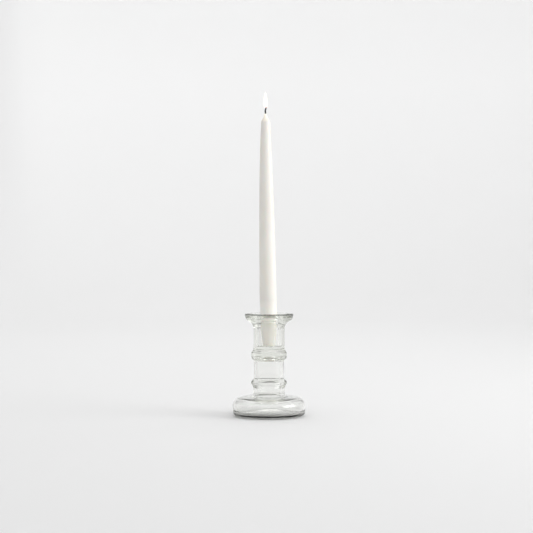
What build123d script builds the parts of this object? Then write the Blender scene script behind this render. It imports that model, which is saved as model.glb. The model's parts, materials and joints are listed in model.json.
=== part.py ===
"""A tall glass candlestick with a dipped taper candle standing in it.

The glass is turned about Z: a hollow foot, a ring of glass over each joint of
the hollow stem, and a socket cup with a wide lip. The gathers of glass are
joined hot, face to face, and the candle lifts out of the socket.

Millimetres, +Z up, origin on the table under the middle of the foot.
"""

import os
from math import cos, radians, sin

from build123d import *

# ---------------------------------------------------------------- driving sizes
HEIGHT = 133.0  # table to the top of the lip, 5 1/4 in
FOOT_RADIUS = 47.4  # 3 3/4 in across
LIP_RADIUS = 31.8  # 2 1/2 in across
CUP_RADIUS = 20.3  # outside of the straight part of the socket cup
NECK_RADIUS = 20.4  # outside of the foot's neck
STEM_RADIUS = 19.3  # outside of the stem at its slimmest
STEM_END_RADIUS = 19.7
RING_RADIUS = 23.4  # crest of both rings of glass

WALL = 4.0  # blown wall of the foot and the stem
BASE_THICKNESS = 5.0  # closed bottom of the foot
HOLLOW_RADIUS = STEM_RADIUS - WALL + 0.1  # air inside the stem and the rings

# The foot: its side rounds into the base and into a shoulder, and its top rises
# a little towards the neck.
BASE_ROUNDING = 5.0
SHOULDER_HEIGHT = 24.2
SHOULDER_ROUNDING = 11.0
NECK_HEIGHT = 25.9
NECK_ROUNDING = 4.0

# Heights of the joints between one gather of glass and the next.
FOOT_TOP = 36.4
STEM_BOTTOM = 49.6
STEM_TOP = 72.4
CUP_BOTTOM = 85.8

HOLLOW_TOP = 78.8  # crown of the air inside the stem, under the solid wafer
CROWN_DROP = 0.6  # the crown sinks this much from the middle to its rounded edge
CROWN_ROUNDING = 3.0
SOCKET_FLOOR = 90.5
SOCKET_FLOOR_RADIUS = 11.6
SOCKET_FLOOR_ROUNDING = 2.0
SOCKET_MOUTH_RADIUS = 12.2  # the socket opens a little towards its mouth
SOCKET_MOUTH_ROUNDING = 1.6
LIP_DISH = 1.6  # the lip's top sinks this much on its way in to the socket
LIP_EDGE = 4.4  # height of the lip's upright edge
FLARE_BOTTOM = 116.0  # where the outside of the cup starts to turn out

# The candle: a 12 in taper, 7/8 in across at its thickest.
CANDLE_LENGTH = 305.0
CANDLE_RADIUS = 11.1
BUTT_RADIUS = 7.6  # the self-fitting end is drawn in at the bottom
BUTT_LENGTH = 28.0
CANDLE_LEAN = 1.0  # degrees towards -X, the play it has in the socket
CANDLE_SEAT = SOCKET_FLOOR + 0.35
WICK_RADIUS = 0.85
WICK_STRAIGHT = CANDLE_LENGTH + 0.6
WICK_CURL_RADIUS = 30.0
WICK_CURL_ANGLE = 14.0

lean = radians(CANDLE_LEAN)
candle_plane = Plane(
    origin=(0, 0, CANDLE_SEAT),
    x_dir=(cos(lean), 0, sin(lean)),
    z_dir=(0, -1, 0),
)
candle_axis = Axis(candle_plane.origin, candle_plane.y_dir)

os.makedirs("parts", exist_ok=True)


# ------------------------------------------------------------------------ foot
# A blown foot: flat ground bottom, full round side, a shoulder that runs in
# almost level, and a short neck that carries the stem. The air inside follows
# the outside one wall further in, and is open at the neck.
with BuildPart() as foot:
    with BuildSketch(Plane.XZ):
        with BuildLine():
            FilletPolyline(
                (0, 0),
                (FOOT_RADIUS, 0),
                (FOOT_RADIUS, SHOULDER_HEIGHT),
                (NECK_RADIUS, NECK_HEIGHT),
                (NECK_RADIUS, FOOT_TOP),
                radius=[BASE_ROUNDING, SHOULDER_ROUNDING, NECK_ROUNDING],
            )
            Line((NECK_RADIUS, FOOT_TOP), (HOLLOW_RADIUS, FOOT_TOP))
            FilletPolyline(
                (HOLLOW_RADIUS, FOOT_TOP),
                (HOLLOW_RADIUS, NECK_HEIGHT - WALL),
                (FOOT_RADIUS - WALL, SHOULDER_HEIGHT - WALL),
                (FOOT_RADIUS - WALL, BASE_THICKNESS),
                (0, BASE_THICKNESS),
                radius=[NECK_ROUNDING + WALL, SHOULDER_ROUNDING - WALL, BASE_ROUNDING],
            )
            Line((0, BASE_THICKNESS), (0, 0))
        make_face()
    revolve(axis=Axis.Z)
foot.part.label = "foot"
export_step(foot.part, "parts/foot.step")


# ------------------------------------------------------------------ lower ring
# A ring of glass laid over the joint of foot and stem, with its crest near the
# top and a longer slope below.
with BuildPart() as lower_ring:
    with BuildSketch(Plane.XZ):
        with BuildLine():
            Line((HOLLOW_RADIUS, STEM_BOTTOM), (HOLLOW_RADIUS, FOOT_TOP))
            Line((HOLLOW_RADIUS, FOOT_TOP), (NECK_RADIUS, FOOT_TOP))
            Spline(
                (NECK_RADIUS, FOOT_TOP),
                (RING_RADIUS - 1.5, 39.8),
                (RING_RADIUS, 44.2),
                (RING_RADIUS - 1.5, 47.4),
                (STEM_END_RADIUS, STEM_BOTTOM),
                tangents=((0, 1), (-1, 1)),
            )
            Line((STEM_END_RADIUS, STEM_BOTTOM), (HOLLOW_RADIUS, STEM_BOTTOM))
        make_face()
    revolve(axis=Axis.Z)
lower_ring.part.label = "lower_ring"
export_step(lower_ring.part, "parts/lower_ring.step")


# ------------------------------------------------------------------- stem tube
# The plain hollow length between the rings, very slightly waisted.
with BuildPart() as stem_tube:
    with BuildSketch(Plane.XZ):
        with BuildLine():
            Line((HOLLOW_RADIUS, STEM_TOP), (HOLLOW_RADIUS, STEM_BOTTOM))
            Line((HOLLOW_RADIUS, STEM_BOTTOM), (STEM_END_RADIUS, STEM_BOTTOM))
            ThreePointArc(
                (STEM_END_RADIUS, STEM_BOTTOM),
                (STEM_RADIUS, (STEM_BOTTOM + STEM_TOP) / 2),
                (STEM_END_RADIUS, STEM_TOP),
            )
            Line((STEM_END_RADIUS, STEM_TOP), (HOLLOW_RADIUS, STEM_TOP))
        make_face()
    revolve(axis=Axis.Z)
stem_tube.part.label = "stem_tube"
export_step(stem_tube.part, "parts/stem_tube.step")


# ------------------------------------------------------------------ upper ring
# A solid wafer of glass that closes the top of the stem and carries the socket
# cup. Its edge swells out into the upper ring; the air of the stem ends in a
# low crown under it.
with BuildPart() as upper_ring:
    with BuildSketch(Plane.XZ):
        with BuildLine():
            Line((0, CUP_BOTTOM), (0, HOLLOW_TOP))
            FilletPolyline(
                (0, HOLLOW_TOP),
                (HOLLOW_RADIUS, HOLLOW_TOP - CROWN_DROP),
                (HOLLOW_RADIUS, STEM_TOP),
                radius=CROWN_ROUNDING,
            )
            Line((HOLLOW_RADIUS, STEM_TOP), (STEM_END_RADIUS, STEM_TOP))
            Spline(
                (STEM_END_RADIUS, STEM_TOP),
                (RING_RADIUS - 0.7, 75.8),
                (RING_RADIUS - 0.2, 79.6),
                (RING_RADIUS - 0.7, 83.0),
                (CUP_RADIUS, CUP_BOTTOM),
                tangents=((1, 0.7), (-1, 0.7)),
            )
            Line((CUP_RADIUS, CUP_BOTTOM), (0, CUP_BOTTOM))
        make_face()
    revolve(axis=Axis.Z)
upper_ring.part.label = "upper_ring"
export_step(upper_ring.part, "parts/upper_ring.step")


# ------------------------------------------------------------------ socket cup
# A thick cup with a snug socket for the candle. At its top the wall turns out
# into a wide solid lip with a barely dished top, and the socket runs straight
# up through it.
with BuildPart() as socket_cup:
    with BuildSketch(Plane.XZ):
        with BuildLine():
            Line((0, CUP_BOTTOM), (CUP_RADIUS, CUP_BOTTOM))
            Line((CUP_RADIUS, CUP_BOTTOM), (CUP_RADIUS, FLARE_BOTTOM))
            Spline(
                (CUP_RADIUS, FLARE_BOTTOM),
                (CUP_RADIUS + 1.5, 120.6),
                (CUP_RADIUS + 5.6, 124.4),
                (LIP_RADIUS - 0.9, HEIGHT - LIP_EDGE),
                (LIP_RADIUS, HEIGHT - 1.0),
                tangents=((0, 1), (0, 1)),
            )
            ThreePointArc(
                (LIP_RADIUS, HEIGHT - 1.0),
                (LIP_RADIUS - 0.3, HEIGHT - 0.3),
                (LIP_RADIUS - 1.0, HEIGHT),
            )
            Spline(
                (LIP_RADIUS - 1.0, HEIGHT),
                (LIP_RADIUS - 6.0, HEIGHT - 0.4),
                (SOCKET_MOUTH_RADIUS + SOCKET_MOUTH_ROUNDING, HEIGHT - LIP_DISH),
                tangents=((-1, 0), (-1, -0.12)),
            )
            ThreePointArc(
                (SOCKET_MOUTH_RADIUS + SOCKET_MOUTH_ROUNDING, HEIGHT - LIP_DISH),
                (
                    SOCKET_MOUTH_RADIUS + SOCKET_MOUTH_ROUNDING * 0.29,
                    HEIGHT - LIP_DISH - SOCKET_MOUTH_ROUNDING * 0.35,
                ),
                (SOCKET_MOUTH_RADIUS, HEIGHT - LIP_DISH - SOCKET_MOUTH_ROUNDING),
            )
            Line(
                (SOCKET_MOUTH_RADIUS, HEIGHT - LIP_DISH - SOCKET_MOUTH_ROUNDING),
                (SOCKET_FLOOR_RADIUS, SOCKET_FLOOR),
            )
            Line((SOCKET_FLOOR_RADIUS, SOCKET_FLOOR), (0, SOCKET_FLOOR))
            Line((0, SOCKET_FLOOR), (0, CUP_BOTTOM))
        make_face()
    revolve(axis=Axis.Z)
    socket_corner = socket_cup.edges().filter_by(GeomType.CIRCLE).filter_by(
        lambda edge: abs(edge.center().Z - SOCKET_FLOOR) < 0.01
    )
    fillet(socket_corner, radius=SOCKET_FLOOR_ROUNDING)
socket_cup.part.label = "socket_cup"
export_step(socket_cup.part, "parts/socket_cup.step")


# ---------------------------------------------------------------------- candle
# A dipped taper: drawn in at the butt to fit the socket, thickest just above
# it, then slimming faster and faster to a rounded tip. The wick runs the whole
# length, so the wax has a hole for it.
with BuildPart() as candle:
    with BuildSketch(candle_plane):
        with BuildLine():
            Line((WICK_RADIUS, 0), (BUTT_RADIUS - 0.8, 0))
            Line((BUTT_RADIUS - 0.8, 0), (BUTT_RADIUS, 0.9))
            Line((BUTT_RADIUS, 0.9), (CANDLE_RADIUS - 0.3, BUTT_LENGTH))
            Spline(
                (CANDLE_RADIUS - 0.3, BUTT_LENGTH),
                (CANDLE_RADIUS, 52.0),
                (10.9, 90.0),
                (10.2, 139.0),
                (8.9, 218.0),
                (7.1, 270.0),
                (5.8, 296.0),
                (3.9, 301.6),
                (WICK_RADIUS, CANDLE_LENGTH),
                tangents=((0.02, 1), (-1, 0.35)),
            )
            Line((WICK_RADIUS, CANDLE_LENGTH), (WICK_RADIUS, 0))
        make_face()
    revolve(axis=candle_axis)
candle.part.label = "candle"
export_step(candle.part, "parts/candle.step")


# ------------------------------------------------------------------------ wick
# A cotton wick down the middle of the wax. The few millimetres above the tip
# curl over.
with BuildPart() as wick:
    with BuildLine(candle_plane):
        run = Line((0, 0), (0, WICK_STRAIGHT))
        curl = ThreePointArc(
            run @ 1,
            (
                WICK_CURL_RADIUS * (1 - cos(radians(WICK_CURL_ANGLE / 2))),
                WICK_STRAIGHT + WICK_CURL_RADIUS * sin(radians(WICK_CURL_ANGLE / 2)),
            ),
            (
                WICK_CURL_RADIUS * (1 - cos(radians(WICK_CURL_ANGLE))),
                WICK_STRAIGHT + WICK_CURL_RADIUS * sin(radians(WICK_CURL_ANGLE)),
            ),
        )
    with BuildSketch(Plane(origin=candle_plane.origin, z_dir=candle_plane.y_dir)):
        Circle(WICK_RADIUS)
    sweep()
wick.part.label = "wick"
export_step(wick.part, "parts/wick.step")
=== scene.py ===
"""A clear glass candlestick with a lit dinner taper, dressed and lit round its CAD frame.

Every length is in metres, in the frame's own axes: +Z up, origin on the table
under the middle of the foot. Sizes that are easier to read in millimetres are
written as a number times MM.
"""

import json
import logging
import math
from dataclasses import dataclass, field
from enum import Enum
from typing import Any, Callable, Sequence

import bpy
import numpy as np
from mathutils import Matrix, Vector


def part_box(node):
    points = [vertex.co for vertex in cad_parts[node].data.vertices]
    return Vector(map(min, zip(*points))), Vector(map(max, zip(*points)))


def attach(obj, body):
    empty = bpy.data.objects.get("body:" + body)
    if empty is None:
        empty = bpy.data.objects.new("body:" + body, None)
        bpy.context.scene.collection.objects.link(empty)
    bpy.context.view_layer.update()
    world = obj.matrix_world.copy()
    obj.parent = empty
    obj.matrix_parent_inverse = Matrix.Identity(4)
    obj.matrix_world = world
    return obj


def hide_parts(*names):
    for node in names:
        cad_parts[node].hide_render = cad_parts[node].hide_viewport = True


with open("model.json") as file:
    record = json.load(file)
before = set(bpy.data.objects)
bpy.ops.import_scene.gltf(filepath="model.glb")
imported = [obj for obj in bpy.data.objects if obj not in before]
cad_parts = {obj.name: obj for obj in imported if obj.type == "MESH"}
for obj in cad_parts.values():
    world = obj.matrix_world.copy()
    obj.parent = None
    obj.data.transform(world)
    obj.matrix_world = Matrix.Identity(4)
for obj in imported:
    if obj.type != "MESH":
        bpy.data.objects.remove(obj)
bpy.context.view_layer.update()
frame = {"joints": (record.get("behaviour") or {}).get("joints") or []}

MM = 0.001
LOG = logging.getLogger("candlestick")

Colour = tuple[float, float, float]
Warp = Callable[[np.ndarray], np.ndarray]


# ------------------------------------------------------------------ the frame
class Body(Enum):
    """The CAD bodies that pieces ride on."""

    HOLDER = "holder"
    TAPER = "taper"


class Slot(Enum):
    """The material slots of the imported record."""

    GLASS = "clear_glass"
    WAX = "candle_wax"
    COTTON = "wick_cotton"


@dataclass(frozen=True)
class Extent:
    """How far a turned CAD node reaches from the Z axis, and from where to where it stands."""

    radius: float
    bottom: float
    top: float

    @classmethod
    def of(cls, node: str) -> "Extent":
        """Reads a node's extent from the frame.

        Args:
            node: The CAD node's name.

        Returns:
            Half its width in X, and its lowest and highest Z.
        """
        low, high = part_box(node)
        return cls(radius=(high.x - low.x) / 2, bottom=low.z, top=high.z)


# ------------------------------------------------------------------- outlines
def smooth_step(t: np.ndarray) -> np.ndarray:
    """3t^2 - 2t^3, with t held between 0 and 1."""
    held = np.clip(t, 0.0, 1.0)
    return held * held * (3.0 - 2.0 * held)


def rounded_outline(
    corners: Sequence[tuple[float, float, float]],
    straight_step: float = 1.6 * MM,
    arc_step: float = math.radians(5.0),
) -> np.ndarray:
    """Makes a polyline whose corners are arcs.

    An arc of radius r meets both runs at a corner r / tan(half the angle between
    them) away from it, and its centre lies on the corner's bisector. A point of
    the arc is the spherical blend of its end directions.

    Args:
        corners: (radius from the axis, height, rounding) of each corner. The
            rounding of the first and last isn't used.
        straight_step: Longest stretch between two points of a straight run.
        arc_step: Largest turn between two points of an arc, in radians.

    Returns:
        An array of (radius, height) rows.
    """
    points = np.array([corner[:2] for corner in corners])
    stretches = []
    start = points[0]
    for before, corner, after, rounding in zip(
        points[:-2], points[1:-1], points[2:], [c[2] for c in corners[1:-1]]
    ):
        back = (before - corner) / np.linalg.norm(before - corner)
        ahead = (after - corner) / np.linalg.norm(after - corner)
        half_angle = math.acos(float(np.clip(back @ ahead, -1.0, 1.0))) / 2
        cut = rounding / math.tan(half_angle)
        bisector = (back + ahead) / np.linalg.norm(back + ahead)
        centre = corner + bisector * rounding / math.sin(half_angle)
        first, last = corner + back * cut, corner + ahead * cut
        stretches.append(straight_run(start, first, straight_step))
        from_centre, to_centre = (first - centre) / rounding, (last - centre) / rounding
        turn = math.pi - 2 * half_angle
        share = np.linspace(0.0, 1.0, max(3, math.ceil(turn / arc_step)) + 1)[:, None]
        blend = np.sin((1 - share) * turn) * from_centre + np.sin(share * turn) * to_centre
        stretches.append((centre + rounding * blend / math.sin(turn))[:-1])
        start = last
    stretches.append(straight_run(start, points[-1], straight_step))
    stretches.append(points[-1:])
    return np.vstack(stretches)


def straight_run(start: np.ndarray, end: np.ndarray, step: float) -> np.ndarray:
    """Divides a straight run evenly.

    Args:
        start: Its first point.
        end: Its last point, which is left out of the result.
        step: Longest stretch between two points.

    Returns:
        The points from start up to, but not including, end.
    """
    count = max(1, math.ceil(float(np.linalg.norm(end - start)) / step))
    share = np.linspace(0.0, 1.0, count, endpoint=False)[:, None]
    return start + (end - start) * share


# --------------------------------------------------------------------- meshes
class Facing(Enum):
    """Which way a turned surface faces when its outline runs upwards."""

    FROM_AXIS = 1
    TO_AXIS = -1


@dataclass
class Patch:
    """Points and faces that are on their way to becoming a mesh."""

    points: np.ndarray
    faces: list[list[int]]

    def warped(self, warp: Warp) -> "Patch":
        """The same faces on moved points."""
        return Patch(warp(self.points), self.faces)

    def with_patch(self, other: "Patch") -> "Patch":
        """Puts another patch into the same mesh.

        Args:
            other: The patch to add.

        Returns:
            A patch that holds both, with the other's faces renumbered.
        """
        shift = len(self.points)
        moved = [[index + shift for index in face] for face in other.faces]
        return Patch(np.vstack([self.points, other.points]), self.faces + moved)


def turned(outline: np.ndarray, segments: int, facing: Facing) -> Patch:
    """Turns an outline about Z.

    A point is (r cos a, r sin a, z) for the outline's (r, z) and the angle a,
    and an end of the outline that lies on the axis becomes one point.

    Args:
        outline: (radius, height) rows.
        segments: How many steps make a full turn.
        facing: Which side of an upward outline the faces look to.

    Returns:
        The turned surface.
    """
    on_axis = np.isclose(outline[:, 0], 0.0)
    low_pole, high_pole = bool(on_axis[0]), bool(on_axis[-1])
    body = outline[int(low_pole) : len(outline) - int(high_pole)]
    angle = np.linspace(0.0, 2 * math.pi, segments, endpoint=False)
    radius, height = body[:, :1], body[:, 1:]
    grid = np.stack(
        [radius * np.cos(angle), radius * np.sin(angle), height + 0 * angle], axis=-1
    ).reshape(-1, 3)
    index = np.arange(len(body) * segments).reshape(len(body), segments)
    beside = np.roll(index, -1, axis=1)
    quads = np.stack([index[:-1], beside[:-1], beside[1:], index[1:]], axis=-1).reshape(-1, 4)
    fans = []
    if low_pole:
        hub = np.full(segments, len(grid))
        fans.append(np.stack([hub, beside[0], index[0]], axis=-1))
        grid = np.vstack([grid, [0.0, 0.0, outline[0, 1]]])
    if high_pole:
        hub = np.full(segments, len(grid))
        fans.append(np.stack([hub, index[-1], beside[-1]], axis=-1))
        grid = np.vstack([grid, [0.0, 0.0, outline[-1, 1]]])
    if facing is Facing.TO_AXIS:
        quads, fans = quads[:, ::-1], [fan[:, ::-1] for fan in fans]
    return Patch(grid, quads.tolist() + [face for fan in fans for face in fan.tolist()])


def place_piece(
    name: str,
    patch: Patch,
    material: bpy.types.Material,
    body: Body | None,
    slot: Slot | None = None,
    stands_for: Sequence[str] = (),
) -> bpy.types.Object:
    """Makes a smooth mesh object and gives it its place in the frame.

    Args:
        name: The piece's name.
        patch: Its points and faces.
        material: Its finish.
        body: The body it rides on, or None for something that is only staging.
        slot: The record's slot that its finish belongs to; not used.
        stands_for: The CAD nodes that it replaces.

    Returns:
        The new object.
    """
    mesh = bpy.data.meshes.new(name)
    mesh.from_pydata(patch.points.tolist(), [], patch.faces)
    mesh.polygons.foreach_set("use_smooth", np.ones(len(patch.faces), dtype=bool))
    mesh.materials.append(material)
    mesh.update()
    piece = bpy.data.objects.new(name, mesh)
    bpy.context.scene.collection.objects.link(piece)
    if body is None:
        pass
    else:
        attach(piece, body.value)
        if stands_for:
            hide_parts(*stands_for)
    triangles = sum(len(face) - 2 for face in patch.faces)
    LOG.info("%s: %d triangles on %s", name, triangles, body.value if body else "the stage")
    return piece


# -------------------------------------------------------------------- shading
class Value:
    """A shader socket in Python arithmetic: each operator adds a Math node."""

    def __init__(self, shader: "Shader", socket: bpy.types.NodeSocket) -> None:
        """Wraps a socket of a shader's tree, so that it can be reckoned with."""
        self.shader = shader
        self.socket = socket

    def _math(self, operation: str, first: Any, second: Any) -> "Value":
        """The result of one Math node on two values or numbers."""
        return self.shader.node(
            "ShaderNodeMath", {"operation": operation}, {0: first, 1: second}
        )

    def __add__(self, other: Any) -> "Value":
        """self + other."""
        return self._math("ADD", self, other)

    def __radd__(self, other: Any) -> "Value":
        """other + self."""
        return self._math("ADD", other, self)

    def __sub__(self, other: Any) -> "Value":
        """self - other."""
        return self._math("SUBTRACT", self, other)

    def __rsub__(self, other: Any) -> "Value":
        """other - self."""
        return self._math("SUBTRACT", other, self)

    def __mul__(self, other: Any) -> "Value":
        """self * other."""
        return self._math("MULTIPLY", self, other)

    def __rmul__(self, other: Any) -> "Value":
        """other * self."""
        return self._math("MULTIPLY", other, self)

    def __truediv__(self, other: Any) -> "Value":
        """self / other."""
        return self._math("DIVIDE", self, other)

    def __pow__(self, other: Any) -> "Value":
        """self to the power of other."""
        return self._math("POWER", self, other)


class Shader:
    """A material's node tree, and the one method that adds nodes to it."""

    def __init__(self, name: str) -> None:
        """Starts a material with an empty tree.

        Args:
            name: The material's name.
        """
        self.material = bpy.data.materials.new(name)
        self.material.use_nodes = True
        self.tree = self.material.node_tree
        self.tree.nodes.clear()

    def node(
        self,
        kind: str,
        settings: dict[str, Any] | None = None,
        inputs: dict[int | str, Any] | None = None,
        output: int | str = 0,
    ) -> Value:
        """Adds a node.

        Args:
            kind: Its type's name in bpy.types.
            settings: Its properties, set first. The key "stops" holds a colour
                ramp's (position, colour) pairs.
            inputs: Values, Values of other nodes or plain numbers for its
                sockets, by index or name.
            output: Which of its outputs is wanted.

        Returns:
            The wanted output.
        """
        made = self.tree.nodes.new(kind)
        for key, setting in (settings or {}).items():
            if key == "stops":
                self._set_stops(made.color_ramp, setting)
            else:
                setattr(made, key, setting)
        for key, given in (inputs or {}).items():
            if isinstance(given, Value):
                self.tree.links.new(given.socket, made.inputs[key])
            else:
                made.inputs[key].default_value = given
        return Value(self, made.outputs[output]) if made.outputs else None

    @staticmethod
    def _set_stops(ramp: bpy.types.ColorRamp, stops: Sequence[tuple[float, Colour]]) -> None:
        """Gives a colour ramp its stops.

        Args:
            ramp: The ramp of a new Color Ramp node.
            stops: (position, colour) pairs, in order.
        """
        while len(ramp.elements) < len(stops):
            ramp.elements.new(1.0)
        for element, (position, colour) in zip(ramp.elements, stops):
            element.position = position
            element.color = (*colour, 1.0)

    def place(self, axis: str) -> Value:
        """One Object coordinate, in metres."""
        point = self.node("ShaderNodeTexCoord", output="Object")
        return self.node("ShaderNodeSeparateXYZ", {}, {0: point}, output=axis)

    def noise(self, size: float, detail: float = 3.0, stretch: float = 1.0) -> Value:
        """A noise of values between 0 and 1 on Object coordinates.

        Args:
            size: The width of its blotches, in metres.
            detail: How many finer octaves it has.
            stretch: How many times longer the blotches are along Z.

        Returns:
            The noise's value.
        """
        point = self.node("ShaderNodeTexCoord", output="Object")
        scaled = self.node(
            "ShaderNodeMapping", {}, {"Vector": point, "Scale": (1.0, 1.0, 1.0 / stretch)}
        )
        return self.node(
            "ShaderNodeTexNoise", {}, {"Vector": scaled, "Scale": 1.0 / size, "Detail": detail}
        )

    def colour_ramp(self, along: Value, stops: Sequence[tuple[float, Colour]]) -> Value:
        """Colours along a value that runs from 0 to 1."""
        return self.node("ShaderNodeValToRGB", {"stops": stops}, {0: along})

    def band(self, value: Value, middle: float, reach: float) -> Value:
        """Picks out the values near a middle.

        With n = 1 - |value - middle| / reach, held at 0 or above, it is 3n^2 - 2n^3.

        Args:
            value: The value to look at.
            middle: Where the band is 1.
            reach: How far either side of the middle it has fallen to 0.

        Returns:
            The band's share.
        """
        away = self.node(
            "ShaderNodeMath", {"operation": "ABSOLUTE"}, {0: (value - middle) / reach}
        )
        near = self.held(1.0 - away)
        return near * near * (3.0 - 2.0 * near)

    def held(self, value: Value) -> Value:
        """The value, held between 0 and 1."""
        return self.node("ShaderNodeClamp", {}, {0: value})

    def mixed(self, share: Value, first: Any, second: Any) -> Value:
        """Blends two colours: all of the first where share is 0, all of the second where 1."""
        return self.node(
            "ShaderNodeMix", {"data_type": "RGBA"}, {0: share, 6: first, 7: second}, output=2
        )

    def bump(self, height: Value, depth: float) -> Value:
        """A bumped normal, where a height of 1 stands depth metres above 0."""
        return self.node("ShaderNodeBump", {}, {"Height": height, "Distance": depth})

    def finish(self, surface: Value, volume: Value | None = None) -> bpy.types.Material:
        """Connects the output.

        Args:
            surface: The surface shader.
            volume: The volume shader, if there is one.

        Returns:
            The finished material.
        """
        links = {"Surface": surface}
        if volume is not None:
            links["Volume"] = volume
        self.node("ShaderNodeOutputMaterial", {}, links)
        return self.material


# ------------------------------------------------------------------- finishes
BLACK: Colour = (0.0, 0.0, 0.0)


@dataclass(frozen=True)
class Belt:
    """A belt round Z where a finish changes: its middle, and how far from there it fades out."""

    height: float
    radius: float
    fade_upright: float
    fade_across: float

    def share(self, shader: Shader, height: Value, reach: Value) -> Value:
        """How much of a point belongs to the belt.

        Args:
            shader: The material's tree.
            height: The point's height.
            reach: How far the point is from the axis.

        Returns:
            1 in the belt's middle, falling off smoothly to 0 at its edges.
        """
        upright = shader.band(height, self.height, self.fade_upright)
        return upright * shader.band(reach, self.radius, self.fade_across)


@dataclass(frozen=True)
class ClearGlass:
    """Clear glass with an olive-green cast that shows where light goes a long way in it."""

    painted_shade_lines: Sequence[Belt]
    rubbed: Belt
    body: Colour = (0.988, 0.99, 0.982)
    # painted shade: the near-black colour of the painted lines
    line: Colour = (0.006, 0.008, 0.004)
    index: float = 1.52
    cast: Colour = (0.72, 0.745, 0.65)
    cast_density: float = 12.0
    ripple_size: float = 14 * MM
    ripple_depth: float = 0.05 * MM
    smear_size: float = 9 * MM
    smear_roughness: float = 0.02
    rubbed_roughness: float = 0.2

    def material(self) -> bpy.types.Material:
        """Dresses fire-polished glass.

        It has long low ripples, a breath of roughness in smears, more of it on the rubbed belt,
        and painted shade: near-black colour in the glass that deepens the dark lines which sharp
        turns of clear glass show.

        Returns:
            The finished material.
        """
        shader = Shader("clear_glass")
        ripples = shader.noise(self.ripple_size, detail=1.0, stretch=1.6)
        smears = shader.noise(self.smear_size, detail=4.0) ** 4.0
        height = shader.place("Z")
        reach = (shader.place("X") ** 2.0 + shader.place("Y") ** 2.0) ** 0.5
        # painted shade: near-black lines mixed into the glass's colour, deepening the dark lines
        # at the lip, the crown of the hollow and the throat
        dark = sum(belt.share(shader, height, reach) for belt in self.painted_shade_lines)
        rubbed = self.rubbed.share(shader, height, reach)
        surface = shader.node(
            "ShaderNodeBsdfPrincipled",
            {},
            {
                "Base Color": shader.mixed(dark, (*self.body, 1.0), (*self.line, 1.0)),
                "Roughness": smears * self.smear_roughness + rubbed * self.rubbed_roughness,
                "IOR": self.index,
                "Transmission Weight": 1.0,
                "Normal": shader.bump(ripples, self.ripple_depth),
            },
        )
        volume = shader.node(
            "ShaderNodeVolumeAbsorption",
            {},
            {"Color": (*self.cast, 1.0), "Density": self.cast_density},
        )
        return shader.finish(surface, volume)


@dataclass(frozen=True)
class DippedWax:
    """Ivory-white wax, satin on the outside, with a painted glow of light round the wick and in
    the socket.

    The glow in the socket stands for the light that goes round inside the glass.
    """

    tip: float
    colour: Colour = (0.89, 0.862, 0.795)
    pale: Colour = (0.93, 0.91, 0.86)
    warm: Colour = (1.0, 0.80, 0.55)
    glow_length: float = 16 * MM
    socket_glow: Colour = (0.70, 0.68, 0.64)
    socket_glow_top: float = 152 * MM
    socket_glow_fade: float = 26 * MM
    glow_strength: float = 0.35
    mottle_size: float = 22 * MM
    grain_size: float = 0.9 * MM
    grain_depth: float = 0.03 * MM

    def material(self) -> bpy.types.Material:
        """Dresses faintly mottled wax.

        The painted glow round the wick, the flame's light in the wax, falls off with the square
        of the depth below the tip. The painted glow in the socket falls off evenly to nothing at
        its top.

        Returns:
            The finished material.
        """
        shader = Shader("candle_wax")
        height = shader.place("Z")
        mottle = shader.noise(self.mottle_size, detail=3.0, stretch=3.0)
        colour = shader.colour_ramp(mottle, [(0.3, self.colour), (0.7, self.pale)])
        # painted light: the flame's light in the wax near the tip
        near_tip = shader.held(1.0 - (self.tip - height) / self.glow_length)
        glow = shader.colour_ramp(near_tip**2.0, [(0.0, BLACK), (1.0, self.warm)])
        # painted light: the glow in the socket stands for the light that goes round inside the
        # glass
        sunk = shader.held((self.socket_glow_top - height) / self.socket_glow_fade)
        grain = shader.noise(self.grain_size, detail=2.0)
        surface = shader.node(
            "ShaderNodeBsdfPrincipled",
            {"subsurface_method": "RANDOM_WALK"},
            {
                "Base Color": colour,
                "Roughness": 0.34 + 0.2 * mottle,
                "Subsurface Weight": 0.35,
                "Subsurface Radius": (1.0, 0.75, 0.55),
                "Subsurface Scale": 4 * MM,
                "Emission Color": shader.mixed(sunk, glow, (*self.socket_glow, 1.0)),
                "Emission Strength": self.glow_strength,
                "Normal": shader.bump(grain, self.grain_depth),
            },
        )
        return shader.finish(surface)


@dataclass(frozen=True)
class CharredCotton:
    """Braided cotton, burnt black above the wax, with an ember at its end."""

    end: float
    char: Colour = (0.006, 0.005, 0.004)
    ash: Colour = (0.05, 0.045, 0.04)
    ember: Colour = (0.5, 0.08, 0.01)
    ember_length: float = 0.8 * MM
    ember_strength: float = 2.5
    fibre_size: float = 0.35 * MM
    fibre_depth: float = 0.08 * MM

    def material(self) -> bpy.types.Material:
        """Dresses char with paler ash on it; the ember starts its own length below the end.

        Returns:
            The finished material.
        """
        shader = Shader("wick_cotton")
        fibres = shader.noise(self.fibre_size, detail=4.0)
        colour = shader.colour_ramp(fibres, [(0.45, self.char), (0.8, self.ash)])
        near_end = shader.held(1.0 - (self.end - shader.place("Z")) / self.ember_length)
        surface = shader.node(
            "ShaderNodeBsdfPrincipled",
            {},
            {
                "Base Color": colour,
                "Roughness": 0.9,
                "Emission Color": shader.colour_ramp(near_end, [(0.0, BLACK), (1.0, self.ember)]),
                "Emission Strength": self.ember_strength,
                "Normal": shader.bump(fibres, self.fibre_depth),
            },
        )
        return shader.finish(surface)


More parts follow.
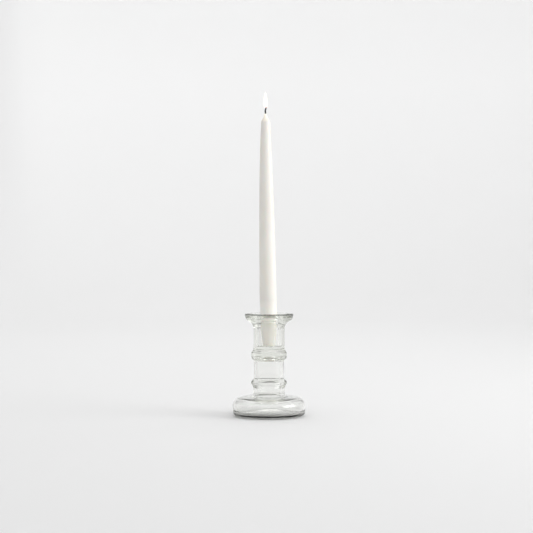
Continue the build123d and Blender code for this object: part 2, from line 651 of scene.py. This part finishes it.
@dataclass(frozen=True)
class BurningGas:
    """One shell of the flame: its size above the wax, and its light from its foot to its tip."""

    name: str
    foot: float
    tip: float
    width: float
    colours: Sequence[tuple[float, Colour]]
    opacities: Sequence[tuple[float, float]]
    strength: float

    def material(self, wax_top: float) -> bpy.types.Material:
        """Dresses the shell: colour and opacity follow the share of its height.

        Args:
            wax_top: Where the wax ends.

        Returns:
            The finished material.
        """
        shader = Shader(self.name)
        height = (shader.place("Z") - (wax_top + self.foot)) / (self.tip - self.foot)
        grey_stops = [(position, (grey, grey, grey)) for position, grey in self.opacities]
        surface = shader.node(
            "ShaderNodeBsdfPrincipled",
            {},
            {
                "Base Color": (*BLACK, 1.0),
                "Roughness": 1.0,
                "Specular IOR Level": 0.0,
                "Alpha": shader.colour_ramp(height, grey_stops),
                "Emission Color": shader.colour_ramp(height, self.colours),
                "Emission Strength": self.strength,
            },
        )
        return shader.finish(surface)


@dataclass(frozen=True)
class StudioPaper:
    """Matt paper, off-white on the floor and behind, with painted shade: grey to the left and in
    front.

    A narrow dark panel stands to the right of the backdrop, and gives the glass its
    darker edges. Each tone is set at a bearing in degrees: 0 straight behind, 90 right.
    """

    floor: Colour = (0.85, 0.85, 0.85)
    # painted shade: the grey to the left and in front stands for the dimmer parts of the room
    # away from the key light
    tones: Sequence[tuple[float, float]] = (
        (-180.0, 0.52),
        (-100.0, 0.55),
        (-45.0, 0.45),
        (-25.0, 0.55),
        (-15.0, 0.955),
        (18.0, 0.94),
        (21.0, 0.30),
        (27.0, 0.30),
        (32.0, 0.90),
        (110.0, 0.90),
        (140.0, 0.65),
        (180.0, 0.52),
    )
    wall_foot: float = 0.10
    wall_rise: float = 0.9
    tooth_size: float = 3 * MM
    tooth: float = 0.03

    def material(self) -> bpy.types.Material:
        """Dresses the cove.

        The wall's tone follows the bearing, and takes over from the floor's as the
        cove rises from wall_foot by wall_rise. The paper's tooth lightens it a little.

        Returns:
            The finished material.
        """
        shader = Shader("studio_paper")
        bearing = shader.node(
            "ShaderNodeMath",
            {"operation": "ARCTAN2"},
            {0: shader.place("X"), 1: shader.place("Y")},
        )
        stops = [((angle + 180.0) / 360.0, (tone, tone, tone)) for angle, tone in self.tones]
        wall = shader.colour_ramp(bearing / (2 * math.pi) + 0.5, stops)
        raised = shader.held((shader.place("Z") - self.wall_foot) / self.wall_rise)
        paper = shader.mixed(raised, (*self.floor, 1.0), wall)
        grain = shader.noise(self.tooth_size) * self.tooth
        surface = shader.node(
            "ShaderNodeBsdfPrincipled",
            {},
            {
                "Base Color": shader.mixed(grain, paper, (1.0, 1.0, 1.0, 1.0)),
                "Roughness": 0.95,
                "Specular IOR Level": 0.1,
            },
        )
        return shader.finish(surface)


# ---------------------------------------------------------------------- glass
@dataclass
class GlassStick:
    """All the glass, fused as the maker leaves it, with the air that is sealed inside."""

    foot: Extent = field(default_factory=lambda: Extent.of("foot"))
    lower_ring: Extent = field(default_factory=lambda: Extent.of("lower_ring"))
    stem: Extent = field(default_factory=lambda: Extent.of("stem_tube"))
    upper_ring: Extent = field(default_factory=lambda: Extent.of("upper_ring"))
    cup: Extent = field(default_factory=lambda: Extent.of("socket_cup"))
    neck_radius: float = 20.4 * MM
    cup_radius: float = 20.3 * MM
    shoulder_height: float = 24.2 * MM
    neck_height: float = 25.9 * MM
    wall: float = 3.6 * MM
    base_thickness: float = 3.4 * MM
    edge_inset: float = 6.0 * MM
    edge_rise: float = 2.0 * MM
    inner_edge_rise: float = 2.2 * MM
    crest_drop: float = 5.2 * MM
    hollow_radius: float = 15.4 * MM
    hollow_top: float = 78.8 * MM
    socket_floor: float = 90.5 * MM
    socket_floor_radius: float = 11.6 * MM
    socket_mouth_radius: float = 12.2 * MM
    lip_bead: float = 0.8 * MM
    lip_dish: float = 2.0 * MM
    flare_depth: float = 13.6 * MM
    segments: int = 180
    waver: float = 0.10 * MM
    hollow_waver: float = 0.30 * MM

    def skin(self) -> np.ndarray:
        """Draws the outline of the outside and the socket, from the middle of the base.

        It runs out under the foot and round its edge, up over the shoulder, the neck
        and both rings, out under the lip, back over its bead and dish, and down into
        the socket to the middle of its floor. Each corner has its own rounding.

        Returns:
            (radius, height) rows.
        """
        crest = self.lower_ring.top - self.crest_drop
        waist = (self.stem.bottom + self.stem.top) / 2
        lip = self.cup.radius
        top = self.cup.top
        return rounded_outline(
            [
                (0.0, 0.0, 0.0),
                (self.foot.radius - self.edge_inset, 0.0, 8.0 * MM),
                (self.foot.radius, self.edge_rise, 5.0 * MM),
                (self.foot.radius, self.shoulder_height, 11.0 * MM),
                (self.neck_radius, self.neck_height, 5.0 * MM),
                (self.neck_radius - 0.1 * MM, self.foot.top + 0.2 * MM, 4.0 * MM),
                (self.lower_ring.radius + 0.5 * MM, crest - 0.2 * MM, 2.6 * MM),
                (self.stem.radius - 0.1 * MM, self.stem.bottom - 0.4 * MM, 2.8 * MM),
                (self.stem.radius - 0.4 * MM, waist, 80 * MM),
                (self.stem.radius - 0.1 * MM, self.stem.top + 0.2 * MM, 1.8 * MM),
                (self.upper_ring.radius + 0.1 * MM, self.upper_ring.bottom + 3.4 * MM, 3.2 * MM),
                (self.upper_ring.radius, self.upper_ring.top - 3.0 * MM, 3.4 * MM),
                (self.cup_radius, self.cup.bottom + 1.2 * MM, 3.4 * MM),
                (self.cup_radius, top - self.flare_depth, 12.0 * MM),
                (lip - 1.8 * MM, top - 7.2 * MM, 4.6 * MM),
                (lip, top - 2.0 * MM, 2.0 * MM),
                (lip, top + self.lip_bead, 0.5 * MM),
                (lip - 1.6 * MM, top + self.lip_bead, 1.0 * MM),
                (lip - 5.0 * MM, top, 8.0 * MM),
                (self.socket_mouth_radius + 5.0 * MM, top - 1.4 * MM, 10.0 * MM),
                (self.socket_mouth_radius, top - self.lip_dish, 1.6 * MM),
                (self.socket_floor_radius, self.socket_floor, 2.0 * MM),
                (0.0, self.socket_floor, 0.0),
            ]
        )

    def hollow(self) -> np.ndarray:
        """Draws the outline of the air inside the foot and the stem, from floor to crown.

        It keeps one wall's thickness inside the foot, narrows to a tube at the neck,
        and swells a little inside the lower ring.

        Returns:
            (radius, height) rows.
        """
        reach = self.foot.radius - self.wall
        swell = self.hollow_radius + 0.7 * MM
        ring_middle = (self.lower_ring.bottom + self.lower_ring.top) / 2
        return rounded_outline(
            [
                (0.0, self.base_thickness, 0.0),
                (reach - self.edge_inset, self.base_thickness, 8.0 * MM),
                (reach, self.base_thickness + self.inner_edge_rise, 5.0 * MM),
                (reach, self.shoulder_height - self.wall, 7.0 * MM),
                (self.hollow_radius, self.neck_height - self.wall, 8.0 * MM),
                (self.hollow_radius, self.lower_ring.bottom - 1.0 * MM, 12.0 * MM),
                (swell, ring_middle, 10.0 * MM),
                (self.hollow_radius, self.lower_ring.top + 2.0 * MM, 12.0 * MM),
                (self.hollow_radius, self.hollow_top - 0.6 * MM, 3.0 * MM),
                (0.0, self.hollow_top, 0.0),
            ]
        )

    def wavered(self, depth: float) -> Warp:
        """Makes the small unevenness of glass that was worked by hand.

        The radius is changed by depth times the sum of two waves round the axis,
        of two and three crests, that turn slowly with height. It fades out at the
        table and inside the socket, where the candle needs its room.

        Args:
            depth: How far the surface moves, at most, in metres.

        Returns:
            A function from points to moved points.
        """

        def warp(points: np.ndarray) -> np.ndarray:
            """Moves points out or in by their waves.

            Args:
                points: The points to move.

            Returns:
                The moved points.
            """
            x, y, z = points.T
            angle, radius = np.arctan2(y, x), np.hypot(x, y)
            waves = np.sin(2 * angle + 31.0 * z) + 0.5 * np.sin(3 * angle - 47.0 * z + 1.0)
            grown = smooth_step((radius - 0.6 * self.hollow_radius) / (0.4 * self.hollow_radius))
            raised = smooth_step((z - self.base_thickness) / (2 * self.base_thickness))
            share = depth * waves / 1.5 * grown * raised / np.maximum(radius, MM)
            return np.stack([x * (1 + share), y * (1 + share), z], axis=-1)

        return warp

    def finish(self) -> ClearGlass:
        """Sets where painted shade darkens the glass and where it is rubbed.

        The lines of painted shade are round the bead of the lip, round the crown of the hollow
        and where the hollow of the foot closes into the neck.

        Returns:
            The glass, with its belts placed.
        """
        throat = self.neck_height - self.wall
        # belts of painted shade, which deepen the dark lines that the glass shows at these turns
        lip = Belt(
            height=self.cup.top + self.lip_bead - 0.9 * MM,
            radius=self.cup.radius - 0.2 * MM,
            fade_upright=1.9 * MM,
            fade_across=2.0 * MM,
        )
        crown = Belt(
            height=self.hollow_top - 1.2 * MM,
            radius=self.hollow_radius - 1.0 * MM,
            fade_upright=1.6 * MM,
            fade_across=2.2 * MM,
        )
        closing = Belt(
            height=throat,
            radius=self.hollow_radius + 3.0 * MM,
            fade_upright=1.8 * MM,
            fade_across=4.5 * MM,
        )
        shoulder = Belt(
            height=throat + 1.0 * MM,
            radius=self.foot.radius - 15.0 * MM,
            fade_upright=6.0 * MM,
            fade_across=13.0 * MM,
        )
        return ClearGlass(painted_shade_lines=(lip, crown, closing), rubbed=shoulder)

    def build(self) -> None:
        """Makes the glass: its skin faces out, and the face of the hollow looks into the air."""
        skin = turned(self.skin(), self.segments, Facing.FROM_AXIS)
        hollow = turned(self.hollow(), self.segments, Facing.TO_AXIS)
        place_piece(
            "fused_glass",
            skin.warped(self.wavered(self.waver)).with_patch(
                hollow.warped(self.wavered(self.hollow_waver))
            ),
            self.finish().material(),
            Body.HOLDER,
            Slot.GLASS,
            stands_for=("foot", "lower_ring", "stem_tube", "upper_ring", "socket_cup"),
        )


# --------------------------------------------------------------------- candle
@dataclass
class Taper:
    """The lit candle: wax, wick and flame, all along one leaning and slightly bowed axis."""

    wax: Extent = field(default_factory=lambda: Extent.of("candle"))
    wick: Extent = field(default_factory=lambda: Extent.of("wick"))
    lean: Vector = field(default_factory=lambda: Vector(frame["joints"][0]["axis"]))
    seat_rise: float = 0.13 * MM
    thickest: float = 11.1 * MM
    slimming: float = 0.5
    butt_radius: float = 7.6 * MM
    butt_edge: float = 0.8 * MM
    butt_length: float = 28 * MM
    tip_length: float = 9.5 * MM
    wick_radius: float = 0.85 * MM
    bow: float = 0.7 * MM
    bow_from: float = 0.62
    segments: int = 128
    unevenness: float = 0.06 * MM

    def __post_init__(self) -> None:
        """Works out where the wax begins and ends along the axis.

        The middle of the leaning butt is seat_rise above the butt's lowest point.
        """
        self.seat = self.wax.bottom + self.seat_rise
        self.length = (self.wax.top - self.seat) / self.lean.z

    def along_axis(self, points: np.ndarray) -> np.ndarray:
        """Stands upright points on the candle's own axis.

        The axis leans as the slide joint does, and over its upper part it bows
        back towards the upright by the square of the way up that part.

        Args:
            points: Points round an upright axis, with Z counted from the butt.

        Returns:
            The points in the frame.
        """
        way_up = np.clip(points[:, 2] / self.length - self.bow_from, 0.0, None)
        bowed = self.bow * (way_up / (1 - self.bow_from)) ** 2
        axis = np.array(self.lean)
        across = np.array([axis[2], 0.0, -axis[0]])
        return (
            (points[:, :1] + bowed[:, None]) * across
            + points[:, 1:2] * np.array([0.0, 1.0, 0.0])
            + points[:, 2:] * axis
            + np.array([0.0, 0.0, self.seat])
        )

    def wax_outline(self) -> np.ndarray:
        """Draws the dipped taper.

        From the butt up it widens in a straight taper. Above that the radius is
        the thickest times (1 - slimming u^2.6), with u the way up, and the last
        stretch closes on the wick as a cone, a little hollow: what is left of the
        radius is (1 - t)^1.2, with t the way up that stretch.

        Returns:
            (radius, height) rows.
        """
        butt = rounded_outline(
            [
                (0.0, 0.0, 0.0),
                (self.butt_radius, 0.0, self.butt_edge),
                (self.thickest - 0.15 * MM, self.butt_length, 30 * MM),
                (self.thickest, self.butt_length + 14 * MM, 0.0),
            ]
        )
        height = np.arange(self.butt_length + 16 * MM, self.length - self.tip_length, 2 * MM)
        left = 1 - self.slimming * (height / self.length) ** 2.6
        side = np.stack([self.thickest * left, height], axis=-1)
        share = np.linspace(0.0, 1.0, 16)[1:]
        wide = side[-1, 0] - self.wick_radius
        tip = np.stack(
            [
                self.wick_radius + wide * (1 - share) ** 1.2,
                side[-1, 1] + (self.length - side[-1, 1]) * share,
            ],
            axis=-1,
        )
        return np.vstack([butt, side, tip, [[0.0, self.length]]])

    def uneven(self, points: np.ndarray) -> np.ndarray:
        """Makes the small unevenness of wax that was dipped by hand.

        The radius is changed by unevenness times the sum of a wave of two crests
        round the axis, that turns slowly with height, and a shorter one along it.

        Args:
            points: Points round an upright axis.

        Returns:
            The moved points.
        """
        x, y, z = points.T
        angle, radius = np.arctan2(y, x), np.hypot(x, y)
        waves = np.sin(2 * angle + 19 * z) + 0.6 * np.sin(140 * z + angle)
        share = self.unevenness * waves / np.maximum(radius, self.thickest / 2)
        return np.stack([x * (1 + share), y * (1 + share), z], axis=-1)

    def build_wax(self) -> None:
        """Makes the wax."""
        patch = turned(self.wax_outline(), self.segments, Facing.FROM_AXIS)
        place_piece(
            "dipped_wax",
            patch.warped(self.uneven).warped(self.along_axis),
            DippedWax(tip=self.wax.top).material(),
            Body.TAPER,
            Slot.WAX,
            stands_for=("candle",),
        )

    def build_wick(self) -> None:
        """Makes the part of the wick that shows, from just inside the wax.

        Its radius carries three strands, 1.12 + 0.12 cos(3 angle + twist). With r
        the share of the height above the wax, its axis bends aside by 0.9 r^2 - 0.3
        sin(pi r), in mm, so that it leans one way and then curls over the other.
        """
        below, above = 3.0 * MM, self.wick.top - self.wax.top
        burnt_end = 0.8 * MM
        height = np.linspace(0.0, below + above, 60)
        taper = np.where(height > height[-1] - burnt_end, 0.8, 1.0)
        outline = np.stack([self.wick_radius * taper, height], axis=-1)
        outline = np.vstack([[[0.0, 0.0]], outline, [[0.0, height[-1]]]])
        patch = turned(outline, 24, Facing.FROM_AXIS)

        def strands(points: np.ndarray) -> np.ndarray:
            """Twists three strands into the radius, one turn in 4.5 mm.

            Args:
                points: The wick's points, round an upright axis.

            Returns:
                The moved points.
            """
            x, y, z = points.T
            twist = 2 * math.pi * z / (4.5 * MM)
            swell = 1.12 + 0.12 * np.cos(3 * np.arctan2(y, x) + twist)
            return np.stack([x * swell, y * swell, z], axis=-1)

        def curl(points: np.ndarray) -> np.ndarray:
            """Bends the wick aside and stands it on the wax.

            Args:
                points: The wick's points, round an upright axis.

            Returns:
                The points round the candle's axis, with Z counted from the butt.
            """
            x, y, z = points.T
            reach = np.clip((z - below) / above, 0.0, None)
            aside = -0.3 * MM * np.sin(math.pi * reach) + 0.9 * MM * reach**2
            return np.stack([x + aside, y, z + self.length - below], axis=-1)

        place_piece(
            "charred_wick",
            patch.warped(strands).warped(curl).warped(self.along_axis),
            CharredCotton(end=self.wick.top).material(),
            Body.TAPER,
            Slot.COTTON,
            stands_for=("wick",),
        )

    def flame_patch(self, gas: BurningGas) -> Patch:
        """Shapes a shell of the flame.

        Its radius is width/2 times sin(pi u^0.62)^0.8 at the share u of its
        height, so that it is fullest low down and drawn out at the top.

        Args:
            gas: The shell's size above the wax.

        Returns:
            The shell, in the frame.
        """
        share = np.linspace(0.0, 1.0, 40)
        radius = gas.width / 2 * np.sin(math.pi * share**0.62) ** 0.8
        radius[[0, -1]] = 0.0
        height = self.length + gas.foot + (gas.tip - gas.foot) * share
        shell = turned(np.stack([radius, height], axis=-1), 48, Facing.FROM_AXIS)
        return shell.warped(self.along_axis)

    def build_flame(self) -> None:
        """Makes the flame: a bright core inside a faint veil that starts just above the wax."""
        veil = BurningGas(
            name="flame_veil",
            foot=2.0 * MM,
            tip=29.5 * MM,
            width=6.0 * MM,
            colours=[(0.0, (0.35, 0.5, 1.0)), (0.25, (1.0, 0.9, 0.75)), (1.0, (1.0, 0.93, 0.8))],
            opacities=[(0.0, 0.0), (0.2, 0.03), (0.4, 0.3), (0.8, 0.25), (1.0, 0.0)],
            strength=1.4,
        )
        core = BurningGas(
            name="flame_core",
            foot=6.0 * MM,
            tip=28.0 * MM,
            width=4.2 * MM,
            colours=[(0.0, (0.75, 0.8, 1.0)), (0.2, (1.0, 0.95, 0.85)), (1.0, (1.0, 0.97, 0.9))],
            opacities=[(0.0, 0.0), (0.12, 0.1), (0.35, 0.85), (0.75, 0.95), (1.0, 0.3)],
            strength=3.0,
        )
        for gas in (veil, core):
            place_piece(
                gas.name,
                self.flame_patch(gas),
                gas.material(self.wax.top),
                Body.TAPER,
                Slot.COTTON,
            )

    def build(self) -> None:
        """Makes the whole candle."""
        self.build_wax()
        self.build_wick()
        self.build_flame()


# --------------------------------------------------------------------- studio
@dataclass(frozen=True)
class SoftBox:
    """A flat area light that is aimed at a point, with a grid that holds it to its spread."""

    name: str
    place: Vector
    aim: Vector
    width: float
    height: float
    watts: float
    spread: float = math.pi

    def build(self) -> None:
        """Hangs the light."""
        lamp = bpy.data.lights.new(self.name, "AREA")
        lamp.shape = "RECTANGLE"
        lamp.size = self.width
        lamp.size_y = self.height
        lamp.energy = self.watts
        lamp.spread = self.spread
        hung = bpy.data.objects.new(self.name, lamp)
        hung.location = self.place
        hung.visible_camera = False
        hung.rotation_euler = (self.aim - self.place).to_track_quat("-Z", "Y").to_euler()
        bpy.context.scene.collection.objects.link(hung)


@dataclass
class Studio:
    """A pale round cove, two soft lights and a level camera.

    The key light stands on the right, and the other is aimed at the wall behind.
    """

    floor_radius: float = 2.6
    cove_radius: float = 1.4
    wall_height: float = 3.4
    floor_gap: float = 0.1 * MM
    sky: float = 1.01
    lens_height: float = 195.4 * MM
    lens_distance: float = 1.648
    lens_aside: float = -3.3 * MM
    focal_length: float = 85.0
    sensor_width: float = 36.0

    def build_cove(self) -> None:
        """Makes the floor and the wall in one sweep, so that no line shows between them."""
        edge = self.floor_radius + self.cove_radius
        outline = rounded_outline(
            [
                (0.0, -self.floor_gap, 0.0),
                (edge, -self.floor_gap, self.cove_radius),
                (edge, self.wall_height, 0.0),
            ],
            straight_step=0.4,
        )
        place_piece(
            "cove",
            turned(outline, 96, Facing.TO_AXIS),
            StudioPaper().material(),
            body=None,
        )

    def build_lights(self) -> None:
        """Hangs the key light and the wall's light, and sets the even light of the room."""
        SoftBox(
            name="key_light",
            place=Vector((1.9, -0.6, 0.7)),
            aim=Vector((0.0, 0.0, 0.2)),
            width=1.7,
            height=1.1,
            watts=6.9,
            spread=math.radians(100.0),
        ).build()
        SoftBox(
            name="back_light",
            place=Vector((0.0, 1.2, 3.3)),
            aim=Vector((0.0, 4.0, 1.0)),
            width=1.6,
            height=1.6,
            watts=24.0,
        ).build()
        world = bpy.data.worlds.new("overhead_light")
        world.use_nodes = True
        background = world.node_tree.nodes["Background"]
        background.inputs["Color"].default_value = (1.0, 1.0, 1.0, 1.0)
        background.inputs["Strength"].default_value = self.sky
        bpy.context.scene.world = world

    def build_camera(self) -> None:
        """Sets up a level camera in front, a little to one side."""
        lens = bpy.data.cameras.new("camera")
        lens.lens = self.focal_length
        lens.sensor_width = self.sensor_width
        camera = bpy.data.objects.new("camera", lens)
        camera.location = (self.lens_aside, -self.lens_distance, self.lens_height)
        camera.rotation_euler = (math.pi / 2, 0.0, 0.0)
        bpy.context.scene.collection.objects.link(camera)
        bpy.context.scene.camera = camera

    def set_film(self) -> None:
        """Plain sRGB output, and bounces enough to see through several walls of glass."""
        scene = bpy.context.scene
        scene.view_settings.view_transform = "Standard"
        scene.view_settings.look = "None"
        scene.cycles.max_bounces = 40
        scene.cycles.transmission_bounces = 40
        scene.cycles.glossy_bounces = 12
        scene.cycles.transparent_max_bounces = 16

    def build(self) -> None:
        """Makes everything that isn't part of the object."""
        self.build_cove()
        self.build_lights()
        self.build_camera()
        self.set_film()


def main() -> None:
    """Builds the studio and the object round the frame."""
    Studio().build()
    GlassStick().build()
    Taper().build()


if __name__ == "__main__":
    logging.basicConfig(level=logging.INFO, format="%(message)s")
    main()
